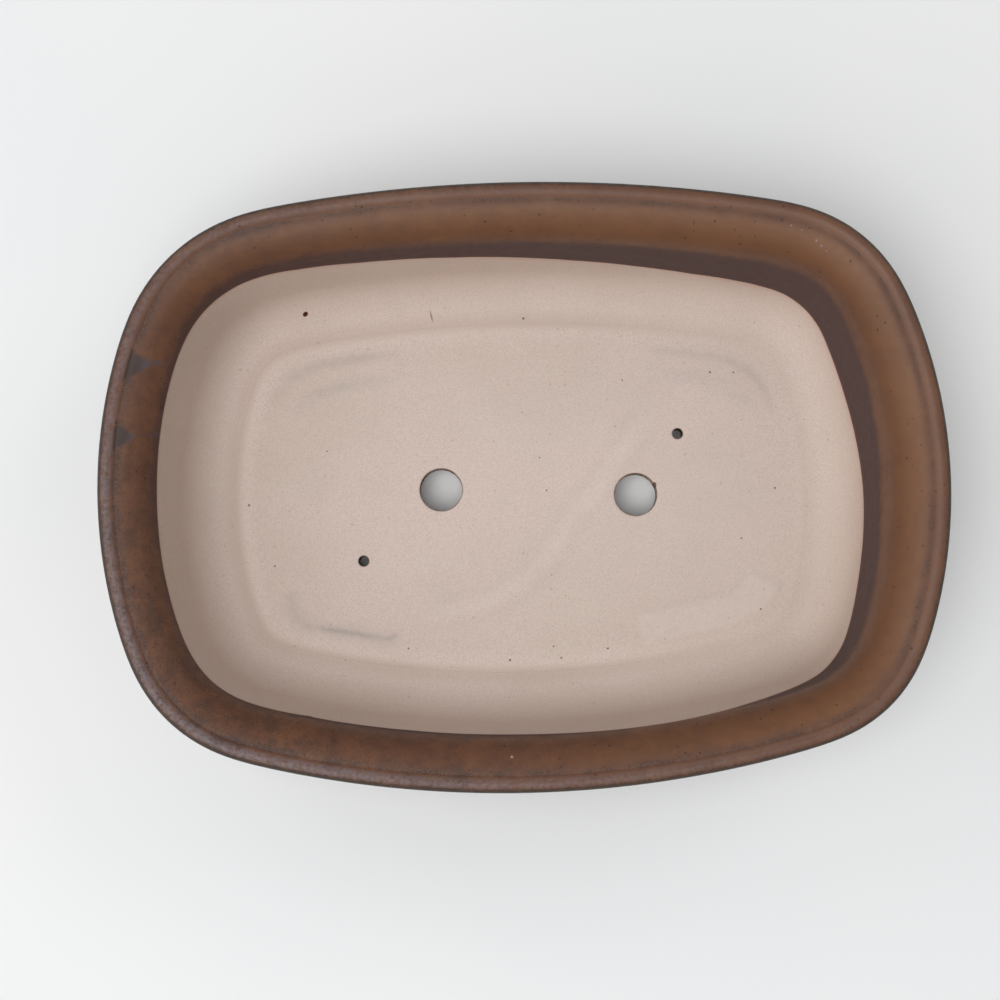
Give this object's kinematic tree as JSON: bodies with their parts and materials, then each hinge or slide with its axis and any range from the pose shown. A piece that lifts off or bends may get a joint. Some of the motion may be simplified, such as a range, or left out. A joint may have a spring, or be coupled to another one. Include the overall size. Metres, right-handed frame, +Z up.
{
  "type": "bonsai pot",
  "caption": "Shallow stoneware tray pot with soft corners, a beaded outcurved lip, brown glaze over bare clay, drain and wire holes, and four bracket feet.",
  "frame": {"origin": "centre of the pot's footprint at the level that its feet stand on", "axes": "+X along the length to the right, +Y to the back, +Z up out of the opening"},
  "size_m": [0.3, 0.2156, 0.075],
  "materials": {
    "bare_clay": "matte fired stoneware",
    "brown_glaze": "satin brown glaze",
    "dark_glaze": "satin dark brown glaze"
  },
  "bodies": {
    "root": {"floor_slab": "bare_clay", "wall_shell": "bare_clay", "rim_coil": "bare_clay", "inner_glaze": "brown_glaze", "outer_glaze": "dark_glaze", "foot_front_left": "bare_clay", "foot_front_right": "bare_clay", "foot_back_left": "bare_clay", "foot_back_right": "bare_clay"}
  },
  "joints": []
}
